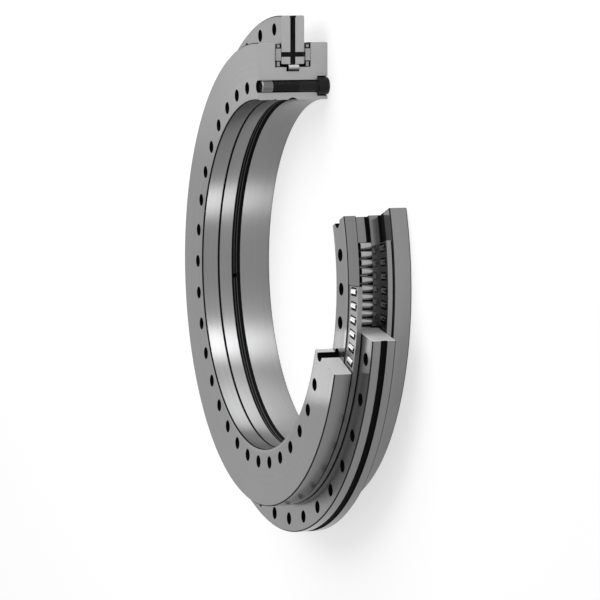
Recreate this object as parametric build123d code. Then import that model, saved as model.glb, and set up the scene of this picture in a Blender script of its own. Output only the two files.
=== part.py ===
from build123d import *
import os
from math import asin, degrees, floor, pi

# Axial-radial cylindrical roller bearing of the turntable kind, cut open in steps to show its rows.
# It lies on the flat back of the inner ring's flange. The origin is on the axis in that plane, +Z up.
# Angles run anticlockwise about +Z. Every ring starts at the section plane, which is at angle 0.
# Sizes are in millimetres, angles in degrees.

# Rings. The bore is the seat that the rest is built out from; each wall is measured along the radius.
bore_diameter = 260.0
hub_wall = 24.2
radial_race_depth = 3.2
outer_ring_wall = 36.0
flange_overhang = 1.0
flange_thickness = 13.5
support_thickness = 13.5
outer_ring_width = 18.0
edge_chamfer = 0.8
inner_chamfer = 0.6
seam_chamfer = 0.3
flange_root_fillet = 0.7

# Rolling elements, and the clearance that they run with.
axial_roller_diameter = 4.96
axial_roller_length = 9.3
radial_roller_diameter = 5.46
radial_roller_length = 8.5
race_clearance = 0.02
radial_roller_side_clearance = 0.75
least_radial_roller_gap = 0.53

# Axial cages: flat rings with one straight pocket for each roller.
cage_thickness = 3.4
cage_inner_rim = 4.6
cage_outer_rim = 3.2
cage_bore_clearance = 0.1
pocket_side_clearance = 0.1
pocket_end_clearance = 0.05
least_pocket_bar = 5.1

# Fixing holes. Each circle of holes is set in from the wall beside it: the bore, or the outside.
fixing_hole_diameter = 9.3
inner_hole_inset = 10.0
outer_hole_inset = 10.0
holes_in_full_circle = 36
counterbore_diameter = 15.0
counterbore_depth = 8.2

# Lubrication: a groove round the bore, a groove round the outside, and the channels between.
bore_groove_width = 7.0
bore_groove_depth = 1.6
bore_channel_diameter = 4.0
bore_channel_angle = 95.0
outer_groove_width = 5.0
outer_groove_depth = 1.3
radial_channel_diameter = 4.0
axial_channel_diameter = 3.6

# Retaining screw, which holds the set together until it is mounted, and its threaded sleeve.
screw_head_diameter = 13.0
screw_head_height = 8.0
screw_socket_across_flats = 6.0
screw_socket_depth = 4.0
screw_shank_diameter = 8.0
screw_tip_diameter = 5.9
sleeve_thread_diameter = 6.0
sleeve_length = 8.7
sleeve_setback = 2.3
sleeve_side_clearance = 0.05
sleeve_chamfer = 0.6
shank_to_sleeve_gap = 0.8
tip_setback_in_sleeve = 1.7

# How far a drill runs past the face that it opens into.
drill_overrun = 1.0

# Where each piece is cut off, so that the steps lay the rows open one after another.
inner_ring_end = 290.0
radial_row_end = 282.0
rear_cage_end = 282.2
front_cage_end = 271.3
outer_ring_end = 260.0
support_ring_end = 250.0

# Heights, from the back of the flange up.
axial_space = axial_roller_diameter + 2 * race_clearance
outer_ring_low = flange_thickness + axial_space
outer_ring_high = outer_ring_low + outer_ring_width
support_low = outer_ring_high + axial_space
support_high = support_low + support_thickness
rear_row_height = flange_thickness + axial_space / 2
front_row_height = support_low - axial_space / 2
middle_height = (outer_ring_low + outer_ring_high) / 2
radial_race_width = radial_roller_length + 2 * radial_roller_side_clearance

# Radii.
bore_radius = bore_diameter / 2
land_radius = bore_radius + hub_wall
radial_race_radius = land_radius - radial_race_depth
radial_row_radius = radial_race_radius + race_clearance + radial_roller_diameter / 2
outer_race_radius = radial_row_radius + radial_roller_diameter / 2 + race_clearance
outer_radius = outer_race_radius + outer_ring_wall
pocket_length = axial_roller_length + 2 * pocket_end_clearance
pocket_width = axial_roller_diameter + 2 * pocket_side_clearance
cage_inner_radius = land_radius + cage_bore_clearance
axial_row_radius = cage_inner_radius + cage_inner_rim + pocket_length / 2
cage_outer_radius = axial_row_radius + pocket_length / 2 + cage_outer_rim
flange_radius = cage_outer_radius + flange_overhang
inner_hole_radius = bore_radius + inner_hole_inset
outer_hole_radius = outer_radius - outer_hole_inset

# Pitches: as many rollers as the full circle of each row holds.
axial_roller_count = floor(2 * pi * axial_row_radius / (pocket_width + least_pocket_bar))
radial_roller_count = floor(2 * pi * radial_row_radius / (radial_roller_diameter + least_radial_roller_gap))
axial_pitch = 360 / axial_roller_count
radial_pitch = 360 / radial_roller_count
hole_pitch = 360 / holes_in_full_circle


def section_face(corners):
    """Closed face in the plane of radius and height. Each corner is (radius, height, chamfer)."""
    points = []
    for i, (radius, height, cut) in enumerate(corners):
        here = Vector(radius, height)
        if cut == 0:
            points.append(here)
            continue
        before = Vector(*corners[i - 1][:2])
        after = Vector(*corners[(i + 1) % len(corners)][:2])
        points.append(here + (before - here).normalized() * cut)
        points.append(here + (after - here).normalized() * cut)
    return Plane.XZ * make_face(Polyline(*points, close=True))


def turned_ring(corners, end_angle):
    """Ring turned from its section, from the section plane round to where it is cut off."""
    return revolve(section_face(corners), Axis.Z, end_angle)


def upright_holes(diameter, circle_radius, low, high, first_angle, end_angle):
    """Drills for a circle of upright holes, one at each hole pitch up to where the ring is cut off."""
    upright = (Align.CENTER, Align.CENTER, Align.MIN)
    drill = Pos(circle_radius, 0, low) * Cylinder(diameter / 2, high - low, align=upright)
    angles = [first_angle + hole_pitch * i for i in range(holes_in_full_circle)]
    return [Rot(Z=angle) * drill for angle in angles if angle <= end_angle]


def channel(diameter, from_radius, to_radius, height, angle):
    """Drill for a channel that runs outwards from one radius to another."""
    length = to_radius - from_radius
    drill = Rot(Y=90) * Cylinder(diameter / 2, length)
    return Rot(Z=angle) * Pos(from_radius + length / 2, 0, height) * drill


def make_inner_ring():
    """L-section ring: a hub with the radial raceway, and a flange with the rear axial raceway."""
    race_low = middle_height - radial_race_width / 2
    race_high = middle_height + radial_race_width / 2
    section = section_face(
        [
            (bore_radius, 0, inner_chamfer),
            (flange_radius, 0, edge_chamfer),
            (flange_radius, flange_thickness, edge_chamfer),
            (land_radius, flange_thickness, 0),
            (land_radius, race_low, 0),
            (radial_race_radius, race_low, 0),
            (radial_race_radius, race_high, 0),
            (land_radius, race_high, 0),
            (land_radius, support_low, inner_chamfer),
            (bore_radius, support_low, seam_chamfer),
        ]
    )
    flange_root = section.vertices().sort_by_distance((land_radius, 0, flange_thickness))[0]
    section = fillet(flange_root, flange_root_fillet)
    ring = revolve(section, Axis.Z, inner_ring_end)
    ring -= upright_holes(fixing_hole_diameter, inner_hole_radius, 0, support_low, 0, inner_ring_end)
    ring -= upright_holes(counterbore_diameter, inner_hole_radius, 0, counterbore_depth, 0, inner_ring_end)
    # The bore groove is part of a circle in section: width and depth give its radius.
    groove_radius = (bore_groove_width**2 / 4 + bore_groove_depth**2) / (2 * bore_groove_depth)
    groove_circle = bore_radius + bore_groove_depth - groove_radius
    ring -= Pos(0, 0, middle_height) * Torus(groove_circle, groove_radius)
    channel_end = radial_race_radius + drill_overrun
    ring -= channel(bore_channel_diameter, groove_circle, channel_end, middle_height, bore_channel_angle)
    return ring


def make_support_ring():
    """Flat ring that is screwed to the hub's end. Its back face is the front axial raceway."""
    ring = turned_ring(
        [
            (bore_radius, support_low, seam_chamfer),
            (flange_radius, support_low, edge_chamfer),
            (flange_radius, support_high, edge_chamfer),
            (bore_radius, support_high, inner_chamfer),
        ],
        support_ring_end,
    )
    ring -= upright_holes(
        fixing_hole_diameter, inner_hole_radius, support_low, support_high, 0, support_ring_end
    )
    return ring


def make_outer_ring():
    """Ring that turns between the two axial rows, with its own circle of fixing holes."""
    groove_low = middle_height - outer_groove_width / 2
    groove_high = middle_height + outer_groove_width / 2
    groove_floor = outer_radius - outer_groove_depth
    ring = turned_ring(
        [
            (outer_race_radius, outer_ring_low, inner_chamfer),
            (outer_radius, outer_ring_low, edge_chamfer),
            (outer_radius, groove_low, 0),
            (groove_floor, groove_low, 0),
            (groove_floor, groove_high, 0),
            (outer_radius, groove_high, 0),
            (outer_radius, outer_ring_high, edge_chamfer),
            (outer_race_radius, outer_ring_high, inner_chamfer),
        ],
        outer_ring_end,
    )
    first_hole = hole_pitch / 2
    ring -= upright_holes(
        fixing_hole_diameter, outer_hole_radius, outer_ring_low, outer_ring_high, first_hole, outer_ring_end
    )
    # Channels in the section plane: one from the outer groove to the raceway, one across the ring
    # that feeds both axial rows.
    channel_start = outer_race_radius - drill_overrun
    ring -= channel(radial_channel_diameter, channel_start, outer_radius, middle_height, 0)
    cross_channel = Cylinder(axial_channel_diameter / 2, outer_ring_width)
    ring -= Pos(axial_row_radius, 0, middle_height) * cross_channel
    return ring


def make_axial_cage(height, end_angle):
    """Flat cage at the given height, with a straight pocket at each pitch."""
    low, high = height - cage_thickness / 2, height + cage_thickness / 2
    cage = turned_ring(
        [
            (cage_inner_radius, low, 0),
            (cage_outer_radius, low, 0),
            (cage_outer_radius, high, 0),
            (cage_inner_radius, high, 0),
        ],
        end_angle,
    )
    pocket = Pos(axial_row_radius, 0, height) * Box(pocket_length, pocket_width, 2 * cage_thickness)
    half_pocket_angle = degrees(asin(pocket_width / 2 / axial_row_radius))
    reach = end_angle + half_pocket_angle
    angles = [axial_pitch * i for i in range(axial_roller_count)]
    return cage - [Rot(Z=angle) * pocket for angle in angles if angle < reach]


def open_places(pitch, count, width_angle, open_from, row_end):
    """Angles of the rollers that can be seen: the one at the section plane, and those laid open."""
    angles = [pitch * i for i in range(count)]
    return [0.0] + [a for a in angles if a > open_from and a - width_angle / 2 < row_end]


def make_axial_rollers(height, open_from, row_end):
    """Axial rollers laid open between two angles. The rest of the row is hidden in the rings."""
    roller = Rot(Y=90) * Cylinder(axial_roller_diameter / 2, axial_roller_length)
    roller = Pos(axial_row_radius, 0, height) * roller
    width_angle = 2 * degrees(asin(pocket_width / 2 / axial_row_radius))
    places = open_places(axial_pitch, axial_roller_count, width_angle, open_from, row_end)
    return [Rot(Z=angle) * roller for angle in places]


def make_radial_rollers():
    """Radial rollers laid open, standing on end in the groove between hub and outer ring."""
    roller = Cylinder(radial_roller_diameter / 2, radial_roller_length)
    roller = Pos(radial_row_radius, 0, middle_height) * roller
    width_angle = 2 * degrees(asin(radial_roller_diameter / 2 / radial_row_radius))
    places = open_places(radial_pitch, radial_roller_count, width_angle, outer_ring_end, radial_row_end)
    return [Rot(Z=angle) * roller for angle in places]


def make_retaining_screw():
    """Socket head screw, from the counterbore up through the hub into the sleeve."""
    upright = (Align.CENTER, Align.CENTER, Align.MIN)
    head_low = counterbore_depth - screw_head_height
    sleeve_high = support_high - sleeve_setback
    shank_high = sleeve_high - sleeve_length - shank_to_sleeve_gap
    tip_high = sleeve_high - tip_setback_in_sleeve
    head = Pos(0, 0, head_low) * Cylinder(screw_head_diameter / 2, screw_head_height, align=upright)
    head = chamfer(head.edges().group_by(Axis.Z)[0], seam_chamfer)
    socket = RegularPolygon(screw_socket_across_flats / 2, 6, major_radius=False)
    head -= Pos(0, 0, head_low) * extrude(socket, screw_socket_depth)
    shank = Pos(0, 0, counterbore_depth) * Cylinder(
        screw_shank_diameter / 2, shank_high - counterbore_depth, align=upright
    )
    shank = chamfer(shank.edges().group_by(Axis.Z)[-1], sleeve_chamfer)
    tip = Pos(0, 0, shank_high) * Cylinder(screw_tip_diameter / 2, tip_high - shank_high, align=upright)
    return Pos(inner_hole_radius, 0, 0) * (head + shank + tip)


def make_retaining_sleeve():
    """Threaded sleeve in the support ring's hole, which the retaining screw pulls against."""
    outer = fixing_hole_diameter / 2 - sleeve_side_clearance
    top = support_high - sleeve_setback
    corners = [
        (sleeve_thread_diameter / 2, top - sleeve_length, 0),
        (outer, top - sleeve_length, sleeve_chamfer),
        (outer, top, sleeve_chamfer),
        (sleeve_thread_diameter / 2, top, 0),
    ]
    return Pos(inner_hole_radius, 0, 0) * turned_ring(corners, 360)


pieces = {
    "inner_ring": make_inner_ring(),
    "support_ring": make_support_ring(),
    "outer_ring": make_outer_ring(),
    "front_axial_cage": make_axial_cage(front_row_height, front_cage_end),
    "rear_axial_cage": make_axial_cage(rear_row_height, rear_cage_end),
    "retaining_screw": make_retaining_screw(),
    "retaining_sleeve": make_retaining_sleeve(),
}
rows = {
    "front_axial_roller": make_axial_rollers(front_row_height, support_ring_end, front_cage_end),
    "rear_axial_roller": make_axial_rollers(rear_row_height, outer_ring_end, rear_cage_end),
    "radial_roller": make_radial_rollers(),
}
for row, rollers in rows.items():
    for number, roller in enumerate(rollers, start=1):
        pieces[f"{row}_{number:02d}"] = roller

os.makedirs("parts", exist_ok=True)
for name, piece in pieces.items():
    export_step(piece, f"parts/{name}.step")
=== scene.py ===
import math

import bmesh
import bpy
from bpy.props import FloatProperty, FloatVectorProperty, IntProperty, PointerProperty
from mathutils import Matrix, Vector


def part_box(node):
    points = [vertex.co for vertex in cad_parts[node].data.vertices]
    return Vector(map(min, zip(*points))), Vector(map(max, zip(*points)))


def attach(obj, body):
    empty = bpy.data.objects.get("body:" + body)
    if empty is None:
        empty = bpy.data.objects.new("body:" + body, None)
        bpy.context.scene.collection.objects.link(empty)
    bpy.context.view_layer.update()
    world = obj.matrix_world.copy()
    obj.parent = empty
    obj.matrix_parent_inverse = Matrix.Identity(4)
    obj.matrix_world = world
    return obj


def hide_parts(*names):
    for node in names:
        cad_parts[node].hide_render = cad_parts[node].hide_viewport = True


bl_info = {
    "name": "Cut-open axial-radial roller bearing",
    "version": (1, 0, 0),
    "blender": (4, 5, 0),
    "location": "3D View > Sidebar > Bearing",
    "description": "Finishes, hidden rollers, retaining screw and studio for the cut-open bearing",
    "category": "Object",
}

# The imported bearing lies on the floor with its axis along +Z. Lengths are in metres, and angles in
# degrees where nothing else is said.
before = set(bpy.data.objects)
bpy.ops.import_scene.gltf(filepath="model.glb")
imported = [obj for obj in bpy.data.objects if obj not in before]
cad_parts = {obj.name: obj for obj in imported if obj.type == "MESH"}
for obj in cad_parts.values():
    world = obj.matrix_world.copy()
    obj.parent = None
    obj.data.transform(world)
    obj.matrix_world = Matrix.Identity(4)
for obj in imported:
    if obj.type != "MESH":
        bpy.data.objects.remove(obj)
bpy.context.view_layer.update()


def middle(node):
    """Middle of a node's box at rest."""
    low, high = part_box(node)
    return (low + high) / 2


def extent(node):
    """Size of a node's box at rest."""
    low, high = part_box(node)
    return high - low


# Places that the finishes and the new pieces are set out from.
FLANGE_RADIUS = extent("inner_ring").x / 2
FLANGE_TOP = 0.0135
HUB_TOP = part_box("inner_ring")[1].z
RIM_LINE_INSET = 0.0007
RIM_LINE_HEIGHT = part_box("support_ring")[1].z - RIM_LINE_INSET
OUTER_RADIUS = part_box("outer_ring")[1].x
MIDDLE_HEIGHT = middle("outer_ring").z
BORE_RADIUS = 0.130
LAND_RADIUS = 0.1542
RACE_RADIUS = 0.151
RACE_HALF_WIDTH = 0.005
RACE_LOW = MIDDLE_HEIGHT - RACE_HALF_WIDTH
RACE_HIGH = MIDDLE_HEIGHT + RACE_HALF_WIDTH
HOLE_INSET = 0.010
INNER_HOLE_CIRCLE = BORE_RADIUS + HOLE_INSET
OUTER_HOLE_CIRCLE = OUTER_RADIUS - HOLE_INSET
HOLE_REACH = 0.0076
BORE_GROOVE_HALF = 0.0035
OUTER_GROOVE_HALF = 0.0025

# Angles at which each part ends, beside the section plane at 0 degrees.
CUTS = {
    "inner_ring": 290.0,
    "support_ring": 250.0,
    "outer_ring": 260.0,
    "front_axial_cage": 271.3,
    "rear_axial_cage": 282.2,
}

# The rows: the circles of the rollers' middles, the axial rollers' pockets, and the cages' rims.
AXIAL_ROW_RADIUS = middle("front_axial_roller_01").x
RADIAL_ROW_RADIUS = middle("radial_roller_01").x
POCKET_HALF_LENGTH = 0.0047
POCKET_HALF_WIDTH = 0.00258
CAGE_INNER_RADIUS = 0.1543
CAGE_OUTER_RADIUS = 0.1715
CAGE_HALF_THICKNESS = 0.0017

# Usual values of a noise, and the factors between which the patterns darken and lighten a colour.
USUAL_NOISE = (0.3, 0.7)
FAINT = (0.98, 1.02)
SLIGHT = (0.97, 1.03)
UNEVEN = (0.96, 1.03)
GRAINY = (0.96, 1.04)
CLOUDY = (0.94, 1.06)
RIBBED = (0.88, 1.06)

# How far the patterns smooth and roughen each finish about its mean.
TURNED_SWING = (-0.02, 0.03)
RACE_SWING = (-0.01, 0.02)
CLOUD_SWING = (-0.01, 0.02)
CAGE_SWING = (-0.05, 0.07)
ROLLER_SWING = (-0.02, 0.04)

# Roughness of the screw and of its sleeve, from their smoothest to their roughest places.
SCREW_ROUGHNESS = (0.34, 0.46)
SLEEVE_ROUGHNESS = (0.20, 0.30)

# Gloss of plain steel, and gloss and roughness of the dark places: painted shade, and the seams.
PLAIN_GLOSS = 0.5
DARK_GLOSS = 0.03
DARK_ROUGHNESS = 0.85

# The main softbox, and two cards that only the steel mirrors, for the support ring's face and for
# the outer ring's beside the section: the name, the place, the point that it faces, its sides and
# its watts.
KEY_SOFTBOX = ("key_softbox", (1.0, 0.27, 1.2), (0.0, 0.0, 0.03), (1.8, 1.8), 18.0)
MIRRORED_CARDS = (
    ("face_card", (-0.078, 0.066, 0.131), (-0.058, -0.15, 0.055), (0.054, 0.036), 0.0140),
    ("far_card", (0.103, 0.916, 0.396), (0.19, -0.02, 0.055), (0.14, 0.14), 0.034),
)

# Glowing cards inside the bore: the angle of the wall that mirrors each, how far it stands from
# there, its width, and its level. They glow within a cone only, so that few other places mirror
# them. The wall sends the main line of sight off at twice its own angle and this much.
SIGHT_AZIMUTH = 84.7
BORE_CARD_HEIGHT = 0.050
BORE_CARD_SPREAD = math.radians(90)
BORE_CARDS = (
    (70.0, 0.15, 0.032, 2.05),
    (117.5, 0.15, 0.036, 3.0),
    (146.0, 0.09, 0.046, 0.82),
)


class SteelFinish(bpy.types.PropertyGroup):
    """Turned and ground steel of the three rings."""

    colour: FloatVectorProperty(
        name="Steel",
        description="Colour of the turned steel",
        subtype="COLOR",
        default=(0.21, 0.21, 0.213),
    )
    # Painted reflection: the bore and the flange's wall are painted lighter than the turned steel.
    lit_wall_colour: FloatVectorProperty(
        name="Honed walls",
        description="Colour of the honed bore and of the flange's wall",
        subtype="COLOR",
        default=(0.26, 0.26, 0.263),
    )
    # Painted shade: holes, channels, grooves, chamfers, the hub's corners and a line round the top
    # of the bore take this dark colour. The real dark seams take it too.
    shade_and_seam_colour: FloatVectorProperty(
        name="Dark places",
        description="Colour of holes, channels, grooves and chamfers, which stay black and shaded",
        subtype="COLOR",
        default=(0.009, 0.009, 0.010),
    )
    cut_colour: FloatVectorProperty(
        name="Section",
        description="Colour of the ground faces in the section plane",
        subtype="COLOR",
        default=(0.51, 0.51, 0.512),
    )
    # Partly painted light: the steps' faces are painted lighter than the section's, as the lamps
    # light them more.
    lit_step_colour: FloatVectorProperty(
        name="Steps",
        description="Colour of the brightly ground faces where the rings are cut off in steps",
        subtype="COLOR",
        default=(0.80, 0.80, 0.802),
    )
    roughness: FloatProperty(
        name="Roughness",
        description="Mean roughness of the turned steel",
        default=0.20,
        min=0.05,
        max=1.0,
    )
    bore_roughness: FloatProperty(
        name="Bore roughness",
        description="Mean roughness of the honed bore",
        default=0.31,
        min=0.05,
        max=1.0,
    )
    race_roughness: FloatProperty(
        name="Raceway roughness",
        description="Mean roughness of the ground raceways",
        default=0.13,
        min=0.02,
        max=1.0,
    )
    metal: FloatProperty(
        name="Metal",
        description="Share of mirror-like metal in the steel's finish",
        default=0.92,
        min=0.0,
        max=1.0,
    )
    brushing: FloatProperty(
        name="Brushing",
        description="How far the gloss is stretched across the turned lines",
        default=0.9,
        min=0.0,
        max=1.0,
    )
    line_width: FloatProperty(
        name="Turned lines",
        description="Mean spacing of the turned lines",
        default=0.0006,
        min=0.0001,
        unit="LENGTH",
    )
    line_depth: FloatProperty(
        name="Line depth",
        description="Depth of the turned lines in the bump",
        default=0.000004,
        min=0.0,
        unit="LENGTH",
    )
    seam_width: FloatProperty(
        name="Seam",
        description="Half width of the dark seam between hub and support ring",
        default=0.0008,
        min=0.0,
        unit="LENGTH",
    )


class CageFinish(bpy.types.PropertyGroup):
    """Stamped metal of the two axial cages."""

    front_colour: FloatVectorProperty(
        name="Front cage",
        description="Colour of the front cage",
        subtype="COLOR",
        default=(0.28, 0.28, 0.282),
    )
    # Painted shade: the rear cage is a darker copy of the front cage's metal.
    rear_shade_colour: FloatVectorProperty(
        name="Rear cage",
        description="Colour of the rear cage, which is still shaded",
        subtype="COLOR",
        default=(0.075, 0.075, 0.076),
    )
    cut_colour: FloatVectorProperty(
        name="Cut cage",
        description="Colour of the cages' cut ends",
        subtype="COLOR",
        default=(0.29, 0.29, 0.29),
    )
    rim_colour: FloatVectorProperty(
        name="Cage rims",
        description="Colour of the round walls of both cages",
        subtype="COLOR",
        default=(0.26, 0.26, 0.26),
    )
    # Painted shade: the pockets' edges and walls and the cut rims' edges take this dark colour.
    edge_shade_colour: FloatVectorProperty(
        name="Edges",
        description="Colour of the shaded edges and walls of the pockets",
        subtype="COLOR",
        default=(0.01, 0.01, 0.01),
    )
    roughness: FloatProperty(
        name="Roughness",
        description="Mean roughness of the cage metal",
        default=0.32,
        min=0.05,
        max=1.0,
    )
    edge: FloatProperty(
        name="Dark edge",
        description="Width of the dark edge round each pocket and each cut end",
        default=0.0007,
        min=0.0,
        unit="LENGTH",
    )


class RollerFinish(bpy.types.PropertyGroup):
    """Polished steel of the rollers, and the rollers that the rings hide."""

    front_colour: FloatVectorProperty(
        name="Front rollers",
        description="Colour of the polished axial rollers in the front cage",
        subtype="COLOR",
        default=(0.80, 0.80, 0.80),
    )
    # Painted shade: the rear rollers are a darker copy of the front rollers.
    rear_shade_colour: FloatVectorProperty(
        name="Rear rollers",
        description="Colour of the shaded axial rollers in the rear cage",
        subtype="COLOR",
        default=(0.22, 0.22, 0.22),
    )
    # Painted shade: the axial rollers in the section plane are a darker copy of the front rollers.
    section_shade_colour: FloatVectorProperty(
        name="Section rollers",
        description="Colour of the axial rollers in the section plane",
        subtype="COLOR",
        default=(0.32, 0.32, 0.32),
    )
    # Painted light: the radial roller in the section plane is a lighter copy of the radial rollers.
    section_radial_light_colour: FloatVectorProperty(
        name="Section radial roller",
        description="Colour of the radial roller in the section plane",
        subtype="COLOR",
        default=(0.60, 0.60, 0.602),
    )
    radial_colour: FloatVectorProperty(
        name="Radial rollers",
        description="Colour of the ground radial rollers",
        subtype="COLOR",
        default=(0.37, 0.37, 0.372),
    )
    # Painted shade: the rim at each end of a roller takes this dark colour.
    end_shade_colour: FloatVectorProperty(
        name="Roller ends",
        description="Colour of the dark rim at each end of a roller",
        subtype="COLOR",
        default=(0.02, 0.02, 0.02),
    )
    roughness: FloatProperty(
        name="Roughness",
        description="Mean roughness of the polished rollers",
        default=0.16,
        min=0.02,
        max=1.0,
    )
    end_edge: FloatProperty(
        name="Dark ends",
        description="Width of the dark rim at each end of a roller",
        default=0.0003,
        min=0.0,
        unit="LENGTH",
    )
    axial_in_circle: IntProperty(
        name="Axial count",
        description="Axial rollers in a full circle",
        default=100,
        min=12,
    )
    radial_in_circle: IntProperty(
        name="Radial count",
        description="Radial rollers in a full circle",
        default=161,
        min=12,
    )
    sides: IntProperty(
        name="Sides",
        description="Sides of each hidden roller",
        default=12,
        min=8,
        max=16,
    )


class ScrewSizes(bpy.types.PropertyGroup):
    """Blackened socket head screw and its sleeve."""

    colour: FloatVectorProperty(
        name="Blackened steel",
        description="Colour of the blackened screw",
        subtype="COLOR",
        default=(0.020, 0.020, 0.0205),
    )
    worn_colour: FloatVectorProperty(
        name="Worn black",
        description="Colour where the black is worn thin",
        subtype="COLOR",
        default=(0.042, 0.042, 0.0415),
    )
    sleeve_colour: FloatVectorProperty(
        name="Sleeve",
        description="Colour of the bright sleeve",
        subtype="COLOR",
        default=(0.16, 0.16, 0.163),
    )
    head_height: FloatProperty(
        name="Head height",
        description="Height of the screw's head",
        default=0.0080,
        unit="LENGTH",
    )
    socket_width: FloatProperty(
        name="Socket width",
        description="Width across the flats of the hexagon socket",
        default=0.006,
        unit="LENGTH",
    )
    socket_depth: FloatProperty(
        name="Socket depth",
        description="Depth of the hexagon socket",
        default=0.004,
        unit="LENGTH",
    )
    shank_radius: FloatProperty(
        name="Shank radius",
        description="Radius of the shank and of the thread's crest",
        default=0.0040,
        unit="LENGTH",
    )
    tip_radius: FloatProperty(
        name="Tip radius",
        description="Radius of the plain tip past the thread",
        default=0.00295,
        unit="LENGTH",
    )
    thread_pitch: FloatProperty(
        name="Thread pitch",
        description="Pitch of the screw's thread",
        default=0.00125,
        min=0.0005,
        unit="LENGTH",
    )
    thread_depth: FloatProperty(
        name="Thread depth",
        description="Depth of the screw's thread",
        default=0.0006,
        min=0.0001,
        unit="LENGTH",
    )
    thread_start: FloatProperty(
        name="Thread start",
        description="Height at which the thread begins",
        default=0.0225,
        unit="LENGTH",
    )
    thread_end: FloatProperty(
        name="Thread end",
        description="Height at which the thread ends",
        default=0.0432,
        unit="LENGTH",
    )
    sides: IntProperty(
        name="Sides",
        description="Sides of the screw's round parts",
        default=36,
        min=16,
        max=64,
    )


class StageSettings(bpy.types.PropertyGroup):
    """Floor, lamps and camera."""

    floor_colour: FloatVectorProperty(
        name="Floor",
        description="Colour of the floor and of the backdrop",
        subtype="COLOR",
        default=(0.86, 0.86, 0.86),
    )
    shadow_depth: FloatProperty(
        name="Shadow",
        description="How much of the white floor's light a full shadow takes away",
        default=0.62,
        min=0.0,
        max=1.0,
    )
    ambient: FloatProperty(
        name="Ambient",
        description="Strength of the backdrop's light on matt surfaces",
        default=0.40,
        min=0.0,
        max=1.0,
    )
    floor_size: FloatProperty(
        name="Floor size",
        description="Length of the floor's side",
        default=12.0,
        unit="LENGTH",
    )
    camera_place: FloatVectorProperty(
        name="Camera place",
        description="Where the camera stands",
        subtype="TRANSLATION",
        default=(0.26582, -3.06567, 1.13924),
    )
    camera_aim: FloatVectorProperty(
        name="Camera aim",
        description="Direction in which the camera looks",
        subtype="DIRECTION",
        default=(-0.08723, 0.935961, -0.341129),
    )
    camera_roll: FloatProperty(
        name="Camera roll",
        description="Clockwise turn of the camera about its line of sight",
        subtype="ANGLE",
        default=math.radians(91.84),
    )
    lens: FloatProperty(
        name="Lens",
        description="Focal length in millimetres on a 36 mm sensor",
        default=262.86,
    )


GROUPS = {
    "bearing_steel": SteelFinish,
    "bearing_cage": CageFinish,
    "bearing_rollers": RollerFinish,
    "bearing_screw": ScrewSizes,
    "bearing_stage": StageSettings,
}


# The turned steel's gloss is stretched across the lines, a quarter of a turn from them, and is a
# little dimmer where the steel is seen at a low angle.
QUARTER_TURN = 0.25
GRAZING_TINT = (0.95, 0.95, 0.95, 1.0)


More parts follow.
